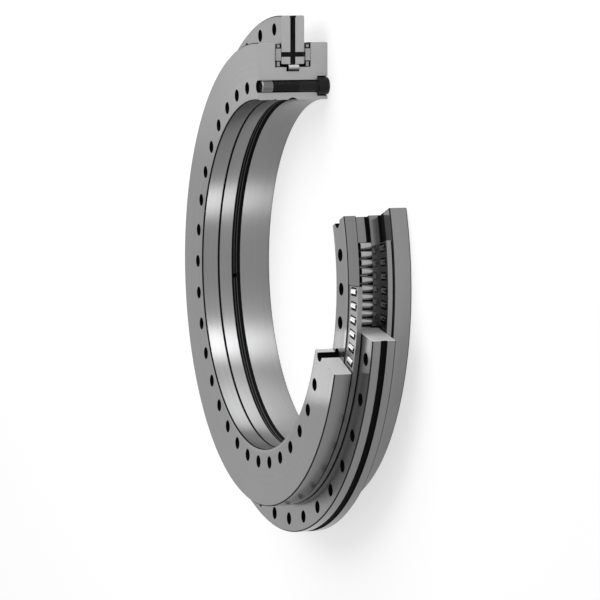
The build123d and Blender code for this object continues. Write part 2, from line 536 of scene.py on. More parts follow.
class NodeBench:
    """Lays out the nodes of one material, so that a finish reads from top to bottom."""

    def __init__(self, name, cut_angle=0.0):
        self.cut_angle = cut_angle
        self.material = bpy.data.materials.new(name)
        self.material.use_nodes = True
        self.tree = self.material.node_tree
        self.shader = self.tree.nodes["Principled BSDF"]
        self.place = self.add("ShaderNodeTexCoord").outputs["Object"]
        self.normal = self.place.node.outputs["Normal"]

    def add(self, kind, **settings):
        """Adds a node of this kind with these settings."""
        node = self.tree.nodes.new(kind)
        for name, value in settings.items():
            setattr(node, name, value)
        return node

    def feed(self, socket, source):
        """Gives a socket its source: another socket, or a plain value."""
        if isinstance(source, bpy.types.NodeSocket):
            self.tree.links.new(source, socket)
        else:
            socket.default_value = source

    def math(self, operation, *sources):
        """Result of one arithmetic step."""
        node = self.add("ShaderNodeMath", operation=operation)
        for socket, source in zip(node.inputs, sources):
            self.feed(socket, source)
        return node.outputs[0]

    def times(self, *sources):
        """Product of several values."""
        product = sources[0]
        for source in sources[1:]:
            product = self.math("MULTIPLY", product, source)
        return product

    def most(self, *sources):
        """Highest of several values."""
        highest = sources[0]
        for source in sources[1:]:
            highest = self.math("MAXIMUM", highest, source)
        return highest

    def but_not(self, mask):
        """1 where a mask is 0."""
        return self.math("SUBTRACT", 1.0, mask)

    def off(self, value, centre):
        """How far a value is from a centre."""
        return self.math("ABSOLUTE", self.math("SUBTRACT", value, centre))

    def split(self, vector):
        """The three parts of a vector."""
        node = self.add("ShaderNodeSeparateXYZ")
        self.feed(node.inputs[0], vector)
        return node.outputs

    def join(self, *parts):
        """A vector from its three parts."""
        node = self.add("ShaderNodeCombineXYZ")
        for socket, part in zip(node.inputs, parts):
            self.feed(socket, part)
        return node.outputs[0]

    def noise(self, vector, scale, detail, roughness=0.55):
        """Smooth noise between 0 and 1."""
        node = self.add("ShaderNodeTexNoise")
        self.feed(node.inputs["Vector"], vector)
        node.inputs["Scale"].default_value = scale
        node.inputs["Detail"].default_value = detail
        node.inputs["Roughness"].default_value = roughness
        return node.outputs["Fac"]

    def range(self, source, low, high, to_low=0.0, to_high=1.0):
        """Maps low..high onto to_low..to_high, and holds it there."""
        node = self.add("ShaderNodeMapRange", clamp=True)
        self.feed(node.inputs["Value"], source)
        for name, value in (
            ("From Min", low),
            ("From Max", high),
            ("To Min", to_low),
            ("To Max", to_high),
        ):
            node.inputs[name].default_value = value
        return node.outputs[0]

    def vary(self, noise, low, high):
        """Spreads a noise's usual values over low..high."""
        return self.range(noise, *USUAL_NOISE, low, high)

    def vary_about(self, mean, noise, swing):
        """A value that a noise lowers and raises about its mean."""
        return self.vary(noise, mean + swing[0], mean + swing[1])

    def mix(self, amount, first, second):
        """Value between two values."""
        step = self.math("SUBTRACT", second, first)
        return self.math("ADD", first, self.math("MULTIPLY", amount, step))

    def blend(self, amount, first, second):
        """Colour between two colours."""
        node = self.add("ShaderNodeMix", data_type="RGBA")
        self.feed(node.inputs["Factor"], amount)
        self.feed(node.inputs["A"], (*first, 1.0) if isinstance(first, tuple) else first)
        self.feed(node.inputs["B"], (*second, 1.0) if isinstance(second, tuple) else second)
        return node.outputs["Result"]

    def shade(self, colour, amount):
        """A colour made lighter or darker by a factor."""
        node = self.add("ShaderNodeVectorMath", operation="SCALE")
        self.feed(node.inputs[0], colour)
        self.feed(node.inputs["Scale"], amount)
        return node.outputs[0]

    def mottle(self, colour, noise, factors):
        """A colour that a noise darkens and lightens between two factors."""
        return self.shade(colour, self.vary(noise, *factors))

    def bump(self, height, distance, strength):
        """Gives the shader a bump from a height."""
        node = self.add("ShaderNodeBump")
        node.inputs["Distance"].default_value = distance
        node.inputs["Strength"].default_value = strength
        self.feed(node.inputs["Height"], height)
        self.feed(self.shader.inputs["Normal"], node.outputs[0])

    def brushed_round(self, amount):
        """Stretches the gloss across lines that run round the axis."""
        x, y, _ = self.split(self.place)
        across = self.join(self.math("MULTIPLY", y, -1.0), x, 0.0)
        turn = self.add("ShaderNodeVectorTransform", vector_type="VECTOR")
        turn.convert_from = "OBJECT"
        turn.convert_to = "WORLD"
        self.feed(turn.inputs[0], across)
        self.feed(self.shader.inputs["Tangent"], turn.outputs[0])
        self.shader.inputs["Anisotropic"].default_value = amount
        self.shader.inputs["Anisotropic Rotation"].default_value = QUARTER_TURN
        self.shader.inputs["Specular Tint"].default_value = GRAZING_TINT

    def surface(self, colour, roughness, metallic, gloss=PLAIN_GLOSS):
        """Sets the shader's colour, roughness, metal and plain gloss."""
        self.feed(self.shader.inputs["Specular IOR Level"], gloss)
        self.feed(self.shader.inputs["Base Color"], colour)
        self.feed(self.shader.inputs["Roughness"], roughness)
        self.feed(self.shader.inputs["Metallic"], metallic)

    def surface_with_painted_shade(self, dark, colour, roughness, metallic):
        """Sets the shader, rough and without metal where a mask of painted shade or seams is 1."""
        self.surface(
            colour,
            self.mix(dark, roughness, DARK_ROUGHNESS),
            self.mix(dark, metallic, 0.0),
            self.mix(dark, PLAIN_GLOSS, DARK_GLOSS),
        )


def about_axis(bench):
    """Radius, angle in radians and height of the shaded point about the bearing's axis."""
    x, y, z = bench.split(bench.place)
    radius = bench.math("SQRT", bench.math("ADD", bench.times(x, x), bench.times(y, y)))
    return radius, bench.math("ARCTAN2", y, x), z


# The masks below are 1 on a place and 0 beside it. A pair of values says where an edge of the
# place is still 0 and where it is 1, and without a pair an edge is this wide.
SOFT_EDGE = 0.0001


def band(bench, value, centre, half_width, edge=SOFT_EDGE):
    """1 within a band about a centre, with soft edges."""
    return bench.range(bench.off(value, centre), half_width + edge, half_width)


def lean(bench):
    """How far the surface faces up or down: 0 on walls, 1 on level faces."""
    return bench.math("ABSOLUTE", bench.split(bench.normal)[2])


# A chamfer's lean, against a wall and against a level face.
MORE_THAN_WALL = (0.25, 0.45)
LESS_THAN_FACE = (0.93, 0.80)


def edge_mask(bench):
    """1 on the narrow chamfers for painted shade, whose normals lean between faces and walls."""
    leaning = lean(bench)
    return bench.times(bench.range(leaning, *MORE_THAN_WALL), bench.range(leaning, *LESS_THAN_FACE))


# How far a cut face's normal points round the axis, and how close the face lies to its plane.
FACES_ROUND = (0.96, 0.995)
ON_PLANE = (0.00015, 0.0001)


def cut_mask(bench):
    """1 on the flat faces in the section plane and at the step where the part ends."""
    x, y, _ = bench.split(bench.place)
    nx, ny, _ = bench.split(bench.normal)
    radius, _, _ = about_axis(bench)
    across = bench.math("DIVIDE", bench.off(bench.times(ny, x), bench.times(nx, y)), radius)
    turn = math.radians(bench.cut_angle)
    from_step = bench.off(bench.times(x, math.sin(turn)), bench.times(y, math.cos(turn)))
    from_plane = bench.math("MINIMUM", bench.math("ABSOLUTE", y), from_step)
    return bench.times(bench.range(across, *FACES_ROUND), bench.range(from_plane, *ON_PLANE))


# How far the pattern of the turned lines moves on in a radian, so that no line is a perfect
# circle.
LINE_DRIFT = 0.0012


def turned_lines(bench, spacing):
    """Fine lines that run round the axis on faces and walls alike."""
    radius, angle, height = about_axis(bench)
    lines = bench.join(radius, height, bench.times(angle, LINE_DRIFT))
    return bench.noise(lines, scale=1.0 / spacing, detail=2.0, roughness=0.5)


# Lean of the walls and shoulders of a hole.
UPRIGHT = (0.5, 0.3)


def hole_mask(bench, circle):
    """1 on the walls and shoulders of the holes on a circle about the axis, painted as shade."""
    radius, _, _ = about_axis(bench)
    near = band(bench, radius, circle, HOLE_REACH)
    return bench.times(bench.range(lean(bench), *UPRIGHT), near, bench.but_not(cut_mask(bench)))


# Depths at which a groove begins and ends, where shade is painted, and the two glints on the floor
# of the bore's groove, which are painted highlights: how far they are from its middle, their half
# width, and how much of the painted shade they take away.
BELOW_WALL = (0.00002, 0.0001)
ABOVE_FLOOR = (0.003, 0.0025)
GLINT_OFFSET = 0.0010
GLINT_HALF_WIDTH = 0.00025
BORE_GLINT = 0.3


def groove_mask(bench, wall, half_width, glint=0.0):
    """1 in the groove round a wall at mid height, as painted shade, less along its two glints."""
    radius, _, height = about_axis(bench)
    depth = bench.off(radius, wall)
    sunk = bench.times(bench.range(depth, *BELOW_WALL), bench.range(depth, *ABOVE_FLOOR))
    inside = band(bench, height, MIDDLE_HEIGHT, half_width, 2 * SOFT_EDGE)
    beside = bench.off(height, MIDDLE_HEIGHT)
    glints = bench.times(band(bench, beside, GLINT_OFFSET, GLINT_HALF_WIDTH, 2 * SOFT_EDGE), glint)
    return bench.times(sunk, inside, bench.but_not(glints), bench.but_not(cut_mask(bench)))


# The outer ring's channels, painted dark as shade: how far they reach behind the section plane,
# where their walls leave it, the radii between which they lie, how far they are from the middle
# height, and how dark they are.
CHANNEL_DEPTH = (0.0023, 0.0021)
CHANNEL_EDGE = (0.00001, 0.00004)
CHANNEL_START = (0.1560, 0.1568)
CHANNEL_END = (0.1923, 0.1920)
CHANNEL_REACH = (0.0088, 0.0086)
CHANNEL_DARKNESS = 0.93


def channel_mask(bench):
    """1 in the two channels that the section plane lays open."""
    x, y, height = bench.split(bench.place)
    from_plane = bench.math("ABSOLUTE", y)
    return bench.times(
        bench.range(from_plane, *CHANNEL_DEPTH),
        bench.range(from_plane, *CHANNEL_EDGE),
        bench.range(x, *CHANNEL_START),
        bench.range(x, *CHANNEL_END),
        bench.range(bench.off(height, MIDDLE_HEIGHT), *CHANNEL_REACH),
    )


# How far from the bore's wall its dark lines still reach, onto the chamfers beside it.
BORE_LINE_REACH = 0.0004


def bore_line(bench, line_height, half_width):
    """1 along a dark line that runs round the bore at a height."""
    radius, _, height = about_axis(bench)
    on_wall = band(bench, radius, BORE_RADIUS, BORE_LINE_REACH)
    return bench.times(on_wall, band(bench, height, line_height, half_width))


# Corners of the hub painted dark as shade: each one's middle height and half width, and the radii
# between which it lies.
RACE_END = (RACE_LOW + 0.0011, 0.0013)
RACE_END_FROM = (RACE_RADIUS - 0.0005, RACE_RADIUS - 0.0003)
RACE_END_TO = (LAND_RADIUS, LAND_RADIUS - SOFT_EDGE)
ROOT = (FLANGE_TOP + 0.0009, 0.0012)
ROOT_FROM = (LAND_RADIUS - 2 * SOFT_EDGE, LAND_RADIUS - SOFT_EDGE)
ROOT_TO = (0.1609, 0.1607)
RACE_EDGE_HALF = 0.0002


def corner_shade_mask(bench):
    """1 in the hub's corners painted as shade: the raceway's two ends and the flange's root."""
    radius, _, height = about_axis(bench)
    race_end = bench.times(
        band(bench, height, *RACE_END),
        bench.range(radius, *RACE_END_FROM),
        bench.range(radius, *RACE_END_TO),
    )
    root = bench.times(
        band(bench, height, *ROOT),
        bench.range(radius, *ROOT_FROM),
        bench.range(radius, *ROOT_TO),
    )
    race_edge = bench.times(
        band(bench, height, RACE_HIGH + RACE_EDGE_HALF, RACE_EDGE_HALF),
        band(bench, radius, LAND_RADIUS, RACE_EDGE_HALF),
    )
    return bench.times(bench.most(race_end, root, race_edge), bench.but_not(cut_mask(bench)))


# Where the ground faces begin and end, outwards and upwards.
GROUND_FROM = (0.1500, 0.1503)
GROUND_TO = (0.1720, 0.1718)
GROUND_ABOVE = (0.0080, 0.0100)
GROUND_BELOW = (0.0545, 0.0540)


def race_mask(bench):
    """1 on the ground raceways and lands, from the hub's raceway out to the cages' outer rims."""
    radius, _, height = about_axis(bench)
    return bench.times(
        bench.range(radius, *GROUND_FROM),
        bench.range(radius, *GROUND_TO),
        bench.range(height, *GROUND_ABOVE),
        bench.range(height, *GROUND_BELOW),
    )


# The honed bore and the flange's wall, both painted lighter as reflected light, and the
# neighbourhood of the section plane, as an angle in radians.
IN_BORE = (BORE_RADIUS + 0.0030, BORE_RADIUS + 0.0020)
ON_FLANGE = (FLANGE_RADIUS - 0.0010, FLANGE_RADIUS - 0.0005)
BELOW_FLANGE_TOP = (FLANGE_TOP, FLANGE_TOP - 0.0003)
AT_SECTION = (0.35, 0.30)

# The cut faces are ground, and less like a mirror at the steps than in the section. A chamfer's
# painted shade is a bit less dark than a groove's, and the broad lines are this many times as wide
# as the fine ones.
CUT_ROUGHNESS = 0.45
STEP_METAL = 0.20
SECTION_METAL = 0.60
CHAMFER_DARKNESS = 0.9
BROAD_LINES = 5


def ring_steel(node, finish, shade_and_seam_places):
    """Turned ring steel with painted shade in chamfers, holes and grooves, and lighter cut faces."""
    bench = NodeBench(node + "_steel", CUTS[node])
    lines = turned_lines(bench, finish.line_width)
    broad_lines = turned_lines(bench, finish.line_width * BROAD_LINES)
    cloud = bench.noise(bench.place, scale=22.0, detail=2.0)
    grain = bench.noise(bench.place, scale=2500.0, detail=2.0)
    cut = cut_mask(bench)
    # Painted shade in the chamfers and the dark places. The seams among them are real.
    chamfers = bench.times(edge_mask(bench), CHAMFER_DARKNESS)
    dark = bench.most(chamfers, *(place(bench) for place in shade_and_seam_places))

    radius, angle, height = about_axis(bench)
    in_bore = bench.range(radius, *IN_BORE)
    on_flange = bench.times(bench.range(radius, *ON_FLANGE), bench.range(height, *BELOW_FLANGE_TOP))
    # Painted reflection: the honed bore and the flange's wall take a lighter colour.
    honed = bench.most(in_bore, on_flange)
    steel = bench.blend(honed, tuple(finish.colour), tuple(finish.lit_wall_colour))
    steel = bench.mottle(steel, broad_lines, SLIGHT)
    steel = bench.mottle(steel, lines, FAINT)
    # Painted light: the steps' faces take a lighter colour than the section's.
    at_section = bench.range(bench.math("ABSOLUTE", angle), *AT_SECTION)
    ground = bench.blend(at_section, tuple(finish.lit_step_colour), tuple(finish.cut_colour))
    ground = bench.mottle(ground, grain, GRAINY)
    colour = bench.mottle(bench.blend(cut, steel, ground), cloud, SLIGHT)
    colour = bench.blend(dark, colour, tuple(finish.shade_and_seam_colour))

    turned = bench.vary_about(finish.roughness, lines, TURNED_SWING)
    race = bench.vary_about(finish.race_roughness, lines, RACE_SWING)
    bore = bench.vary_about(finish.bore_roughness, lines, TURNED_SWING)
    roughness = bench.mix(race_mask(bench), turned, race)
    roughness = bench.mix(in_bore, roughness, bore)
    roughness = bench.mix(cut, roughness, CUT_ROUGHNESS)
    roughness = bench.math("ADD", roughness, bench.vary(cloud, *CLOUD_SWING))
    metal = bench.mix(cut, finish.metal, bench.mix(at_section, STEP_METAL, SECTION_METAL))
    bench.surface_with_painted_shade(dark, colour, roughness, metal)
    bench.bump(lines, finish.line_depth, strength=0.5)
    bench.brushed_round(finish.brushing)
    return bench.material


# Share of a painted dark edge's width that is fully dark, round a pocket and along a rim.
POCKET_EDGE_SHARE = 0.7
RIM_EDGE_SHARE = 0.6


def pocket_edge(bench, in_circle, width):
    """1 on a cage's face in a narrow edge round each pocket, painted as shade."""
    radius, angle, _ = about_axis(bench)
    sideways = bench.times(radius, bench.math("PINGPONG", angle, math.pi / in_circle))
    past_side = bench.math("SUBTRACT", sideways, POCKET_HALF_WIDTH)
    past_end = bench.math("SUBTRACT", bench.off(radius, AXIAL_ROW_RADIUS), POCKET_HALF_LENGTH)
    return bench.range(bench.most(past_side, past_end), width, width * POCKET_EDGE_SHARE)


def cut_edge(bench, row_height, width):
    """1 along the edges of a cage's two rims where they are cut, painted as shade."""
    radius, _, height = about_axis(bench)
    pocket_low = AXIAL_ROW_RADIUS - POCKET_HALF_LENGTH
    pocket_high = AXIAL_ROW_RADIUS + POCKET_HALF_LENGTH
    from_edge = bench.math("SUBTRACT", CAGE_HALF_THICKNESS, bench.off(height, row_height))
    for edge in (CAGE_INNER_RADIUS, pocket_low, pocket_high, CAGE_OUTER_RADIUS):
        from_edge = bench.math("MINIMUM", from_edge, bench.off(radius, edge))
    return bench.range(from_edge, width, width * RIM_EDGE_SHARE)


# Lean of a cage's flat faces, and the section plane's reach as an angle in radians.
FLAT = (0.5, 0.7)
ON_SECTION = (0.0005, 0.0002)


def cage_metal(node, finish, face_colour, in_circle):
    """Stamped metal of a cage with a fine grain, painted shade round its pockets and cut rims."""
    bench = NodeBench(node + "_metal", CUTS[node])
    grain = bench.noise(bench.place, scale=1800.0, detail=3.0)
    cloud = bench.noise(bench.place, scale=60.0, detail=2.0)
    cut = cut_mask(bench)
    flat = bench.range(lean(bench), *FLAT)
    radius, angle, _ = about_axis(bench)
    on_section = bench.range(bench.math("ABSOLUTE", angle), *ON_SECTION)
    between_rims = band(bench, radius, AXIAL_ROW_RADIUS, POCKET_HALF_LENGTH)
    # Painted shade: narrow edges round the pockets and along the cut rims, and the pockets' walls.
    dark = bench.most(
        bench.times(flat, pocket_edge(bench, in_circle, finish.edge)),
        bench.times(cut, cut_edge(bench, middle(node).z, finish.edge)),
        bench.times(bench.but_not(flat), between_rims, bench.but_not(on_section)),
    )
    cut_rims = bench.times(cut, bench.but_not(between_rims))
    metal = bench.blend(flat, tuple(finish.rim_colour), face_colour)
    metal = bench.blend(cut_rims, metal, tuple(finish.cut_colour))
    metal = bench.mottle(metal, cloud, CLOUDY)
    metal = bench.blend(dark, metal, tuple(finish.edge_shade_colour))
    roughness = bench.vary_about(finish.roughness, grain, CAGE_SWING)
    bench.surface_with_painted_shade(dark, metal, roughness, metallic=0.9)
    bench.bump(grain, distance=0.000004, strength=0.4)
    return bench.material


# Painted shade darkens the radial rollers towards the hub, from this far outside their row's circle
# to as far inside, down to this factor. The painted shade at a roller's ends hides this share of its
# own colour.
SHADE_REACH = 0.0012
SHADE_DEPTH = 0.08
ROLLER_RIM_DARKNESS = 0.85


def roller_steel(name, finish, colour, lies):
    """Polished steel of a lying or standing roller: fine lines round it, painted shade at its ends.
    """
    bench = NodeBench(name)
    radius, _, height = about_axis(bench)
    if lies:
        along = bench.off(radius, AXIAL_ROW_RADIUS)
        half_length = extent("front_axial_roller_01").x / 2
    else:
        along = bench.off(height, MIDDLE_HEIGHT)
        half_length = extent("radial_roller_01").z / 2
    full_dark = half_length - finish.end_edge * RIM_EDGE_SHARE
    rim = bench.range(along, half_length - finish.end_edge, full_dark)
    grinding = bench.noise(bench.join(along, 0.0, 0.0), scale=4000.0, detail=2.0)
    cloud = bench.noise(bench.place, scale=120.0, detail=2.0)
    steel = bench.mottle(colour, grinding, SLIGHT)
    steel = bench.mottle(steel, cloud, UNEVEN)
    # Painted shade towards the hub.
    if not lies:
        inner, outer = RADIAL_ROW_RADIUS - SHADE_REACH, RADIAL_ROW_RADIUS + SHADE_REACH
        steel = bench.shade(steel, bench.range(radius, inner, outer, SHADE_DEPTH, 1.0))
    steel = bench.blend(bench.times(rim, ROLLER_RIM_DARKNESS), steel, tuple(finish.end_shade_colour))
    bench.surface(steel, bench.vary_about(finish.roughness, grinding, ROLLER_SWING), metallic=0.95)
    bench.bump(grinding, distance=0.000001, strength=0.3)
    return bench.material


# Where the noise of the wear shows through the black, and how far it does.
WEAR_SHOWS = (0.60, 0.78)
WEAR_DEPTH = 0.5


def blackened_steel(name, sizes):
    """Black oxide on steel, a little worn and brighter where it has been handled."""
    bench = NodeBench(name)
    grain = bench.noise(bench.place, scale=2600.0, detail=3.0)
    wear = bench.noise(bench.place, scale=260.0, detail=4.0)
    worn = bench.range(wear, *WEAR_SHOWS, 0.0, WEAR_DEPTH)
    colour = bench.blend(worn, tuple(sizes.colour), tuple(sizes.worn_colour))
    bench.surface(colour, bench.vary(grain, *SCREW_ROUGHNESS), metallic=0.1, gloss=0.12)
    bench.bump(grain, distance=0.000004, strength=0.4)
    return bench.material


# Spacing of the sleeve's ribs, how near to its ends its two rims lie, and how bright the highlights
# painted along them are.
RIB_PITCH = 0.0006
SLEEVE_RIM = (0.0011, 0.0007)
SLEEVE_RIM_HIGHLIGHT = 1.25


def sleeve_steel(name, sizes):
    """Bright plated sleeve with fine turned ribs, and highlights painted along its rims."""
    bench = NodeBench(name)
    height = bench.split(bench.place)[2]
    from_middle = bench.off(height, middle("retaining_sleeve").z)
    rims = bench.range(bench.off(from_middle, extent("retaining_sleeve").z / 2), *SLEEVE_RIM)
    ribs = bench.math("SINE", bench.times(height, 2 * math.pi / RIB_PITCH))
    grain = bench.noise(bench.place, scale=1500.0, detail=2.0)
    colour = bench.shade(tuple(sizes.sleeve_colour), bench.range(ribs, -1.0, 1.0, *RIBBED))
    # Painted highlights along the two rims.
    colour = bench.shade(colour, bench.mix(rims, 1.0, SLEEVE_RIM_HIGHLIGHT))
    bench.surface(colour, bench.vary(grain, *SLEEVE_ROUGHNESS), metallic=0.95)
    bench.bump(ribs, distance=0.00002, strength=0.5)
    return bench.material


def dress(node, material):
    """Gives a CAD node its finish through its material slots."""
    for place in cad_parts[node].material_slots:
        place.material = material


def nothing_selected():
    """Deselects every object."""
    for other in list(bpy.context.selected_objects):
        other.select_set(False)


def only(piece):
    """Makes one piece the only selected and active one."""
    nothing_selected()
    piece.select_set(True)
    bpy.context.view_layer.objects.active = piece


def settled(name):
    """Names the primitive just added, and puts its place into its mesh."""
    piece = bpy.context.active_object
    piece.name = name
    piece.data.name = name
    only(piece)
    bpy.ops.object.transform_apply(location=True, rotation=True, scale=True)
    return piece


def add_cylinder(name, radius, low, high, sides):
    """Upright cylinder between two heights, on the axis."""
    nothing_selected()
    bpy.ops.mesh.primitive_cylinder_add(
        vertices=sides,
        radius=radius,
        depth=high - low,
        location=(0, 0, (low + high) / 2),
    )
    return settled(name)


def turned_solid(name, sides, outline):
    """Solid turned about +Z: its lowest disc is drawn up, wider or narrower from ring to ring."""
    radius, height = outline[0]
    nothing_selected()
    bpy.ops.mesh.primitive_circle_add(
        vertices=sides,
        radius=radius,
        fill_type="NGON",
        location=(0, 0, height),
    )
    piece = settled(name)
    bpy.ops.object.mode_set(mode="EDIT")
    bpy.ops.mesh.select_mode(type="FACE")
    bpy.ops.mesh.select_all(action="SELECT")
    for next_radius, next_height in outline[1:]:
        rise = {"value": (0, 0, next_height - height)}
        bpy.ops.mesh.extrude_region_move(TRANSFORM_OT_translate=rise)
        widen = next_radius / radius
        bpy.ops.transform.resize(value=(widen, widen, 1.0), center_override=(0, 0, next_height))
        radius, height = next_radius, next_height
    bpy.ops.mesh.select_all(action="SELECT")
    bpy.ops.mesh.normals_make_consistent(inside=False)
    bpy.ops.object.mode_set(mode="OBJECT")
    return piece


# A face is level where the upright part of its normal is more than this.
LEVEL = 0.9


def bevel_rims(piece, width):
    """Chamfers the edges round a solid's two ends, whose faces are level."""
    bpy.ops.object.mode_set(mode="EDIT")
    bpy.ops.mesh.select_mode(type="FACE")
    mesh = bmesh.from_edit_mesh(piece.data)
    for face in mesh.faces:
        face.select_set(abs(face.normal.z) > LEVEL)
    mesh.select_flush_mode()
    bmesh.update_edit_mesh(piece.data)
    bpy.ops.mesh.bevel(offset=width, segments=1, affect="EDGES")
    bpy.ops.object.mode_set(mode="OBJECT")


def smooth(piece, angle):
    """Smooth shading, with edges sharper than an angle kept."""
    only(piece)
    bpy.ops.object.shade_smooth_by_angle(angle=math.radians(angle))


def joined_copies(name, pattern, moves):
    """One piece out of copies of a pattern, one for each move. The pattern is deleted."""
    copies = []
    for move in moves:
        copy = pattern.copy()
        copy.data = pattern.data.copy()
        copy.data.transform(move)
        bpy.context.collection.objects.link(copy)
        copies.append(copy)
    bpy.data.objects.remove(pattern)
    only(copies[0])
    for copy in copies:
        copy.select_set(True)
    bpy.ops.object.join()
    row = bpy.context.active_object
    row.name = name
    row.data.name = name
    return row


# Share of a pitch that is flat at the thread's crest, and as much at its root, and how near to the
# crest a point of the shank lies.
THREAD_FLAT = 0.12
AT_CREST = 0.0001


def cut_thread(piece, low, high, crest, pitch, depth):
    """Draws the rings of a plain shank in and out along a helix, so that they form a thread."""
    for vertex in piece.data.vertices:
        across = math.hypot(vertex.co.x, vertex.co.y)
        height = vertex.co.z
        if across < crest - AT_CREST or not low < height < high:
            continue
        turn = math.atan2(vertex.co.y, vertex.co.x) / (2 * math.pi)
        phase = (height / pitch - turn) % 1.0
        flank = (abs(2 * phase - 1) - THREAD_FLAT) / (1 - 2 * THREAD_FLAT)
        flank = min(1.0, max(0.0, flank))
        fade = min(1.0, (height - low) / pitch)
        inward = (crest - depth * flank * fade) / across
        vertex.co.x *= inward
        vertex.co.y *= inward


def cut_socket(piece, across_flats, low, depth):
    """Cuts a hexagon socket into the underside of a screw head."""
    across_corners = across_flats / math.cos(math.pi / 6)
    cutter = add_cylinder("socket_cutter", across_corners / 2, low - depth, low + depth, sides=6)
    only(piece)
    cut = piece.modifiers.new("socket", "BOOLEAN")
    cut.operation = "DIFFERENCE"
    cut.solver = "EXACT"
    cut.object = cutter
    bpy.ops.object.modifier_apply(modifier="socket")
    bpy.data.objects.remove(cutter)


# Roundings of the screw: its head's face and the point half way round that, the head's back as a
# height and a width, the neck, the thread's end and the tip. A turn of the thread has this many
# rings.
FACE_ROUNDING = 0.0005
FACE_BULGE = 0.00015
BACK_HEIGHT = 0.0004
BACK_WIDTH = 0.0003
NECK_ROUNDING = 0.0003
THREAD_CHAMFER = 0.0006
TIP_CHAMFER = 0.0004
RINGS_IN_PITCH = 8


def screw_outline(sizes, low, high, head):
    """Radii and heights from the head's face to the tip, with close rings along the thread."""
    back = low + sizes.head_height
    shank = sizes.shank_radius
    tip = sizes.tip_radius
    step = sizes.thread_pitch / RINGS_IN_PITCH
    rings = int((sizes.thread_end - THREAD_CHAMFER - sizes.thread_start) / step)
    return [
        (head - FACE_ROUNDING, low),
        (head - FACE_BULGE, low + FACE_BULGE),
        (head, low + FACE_ROUNDING),
        (head, back - BACK_HEIGHT),
        (head - BACK_WIDTH, back),
        (shank + NECK_ROUNDING, back),
        (shank, back + NECK_ROUNDING),
        *((shank, sizes.thread_start + step * ring) for ring in range(rings + 1)),
        (shank - THREAD_CHAMFER, sizes.thread_end),
        (tip, sizes.thread_end),
        (tip, high - TIP_CHAMFER),
        (tip - TIP_CHAMFER, high),
    ]


class BEARING_OT_rings(bpy.types.Operator):
    """Gives the three rings their turned and ground steel"""

    bl_idname = "bearing.rings"
    bl_label = "Finish the rings"

    def execute(self, context):
        finish = context.scene.bearing_steel
        # The places on each ring that are painted dark as shade, and its dark seams.
        shade_and_seam_places = {
            "inner_ring": (
                lambda bench: hole_mask(bench, INNER_HOLE_CIRCLE),
                lambda bench: groove_mask(bench, BORE_RADIUS, BORE_GROOVE_HALF, BORE_GLINT),
                lambda bench: bore_line(bench, HUB_TOP, finish.seam_width),
                corner_shade_mask,
            ),
            "support_ring": (
                lambda bench: hole_mask(bench, INNER_HOLE_CIRCLE),
                lambda bench: bore_line(bench, HUB_TOP, finish.seam_width),
                # Painted shade: a thin dark line round the top of the support ring's bore.
                lambda bench: bore_line(bench, RIM_LINE_HEIGHT, finish.seam_width / 2),
            ),
            "outer_ring": (
                lambda bench: hole_mask(bench, OUTER_HOLE_CIRCLE),
                lambda bench: groove_mask(bench, OUTER_RADIUS, OUTER_GROOVE_HALF),
                lambda bench: bench.times(channel_mask(bench), CHANNEL_DARKNESS),
            ),
        }
        for node, places in shade_and_seam_places.items():
            dress(node, ring_steel(node, finish, places))
        return {"FINISHED"}


class BEARING_OT_cages(bpy.types.Operator):
    """Gives the two axial cages their stamped metal"""

    bl_idname = "bearing.cages"
    bl_label = "Finish the cages"

    def execute(self, context):
        finish = context.scene.bearing_cage
        in_circle = context.scene.bearing_rollers.axial_in_circle
        # The rear cage takes its darker colour as painted shade.
        colours = {"front_axial_cage": finish.front_colour, "rear_axial_cage": finish.rear_shade_colour}
        for node, colour in colours.items():
            metal = cage_metal(node, finish, tuple(colour), in_circle)
            dress(node, metal)
        return {"FINISHED"}


class BEARING_OT_open_rollers(bpy.types.Operator):
    """Gives the rollers that are laid open their polished steel"""

    bl_idname = "bearing.open_rollers"
    bl_label = "Finish the open rollers"

    def execute(self, context):
        finish = context.scene.bearing_rollers
        # The start and end of the nodes' names, the steel's name and its colour. The rear rollers
        # take a darker copy of the front rollers' steel as painted shade. The rollers in the section
        # plane come last, and take their own steel in place of their row's: the axial ones a darker
        # copy as painted shade, the radial one a lighter copy as painted light.
        looks = (
            ("front_axial_roller_", "", "front_roller_steel", finish.front_colour),
            ("rear_axial_roller_", "", "rear_roller_shade_steel", finish.rear_shade_colour),
            ("radial_roller_", "", "radial_roller_steel", finish.radial_colour),
            ("", "_axial_roller_01", "section_roller_shade_steel", finish.section_shade_colour),
            ("", "radial_roller_01", "section_radial_light_steel", finish.section_radial_light_colour),
        )
        for start, end, steel_name, colour in looks:
            lies = "axial_roller" in start + end
            steel = roller_steel(steel_name, finish, tuple(colour), lies)
            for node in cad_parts:
                if node.startswith(start) and node.endswith(end):
                    dress(node, steel)
        return {"FINISHED"}


# Chamfer of a hidden roller, as a share of its diameter.
ROLLER_CHAMFER = 0.05


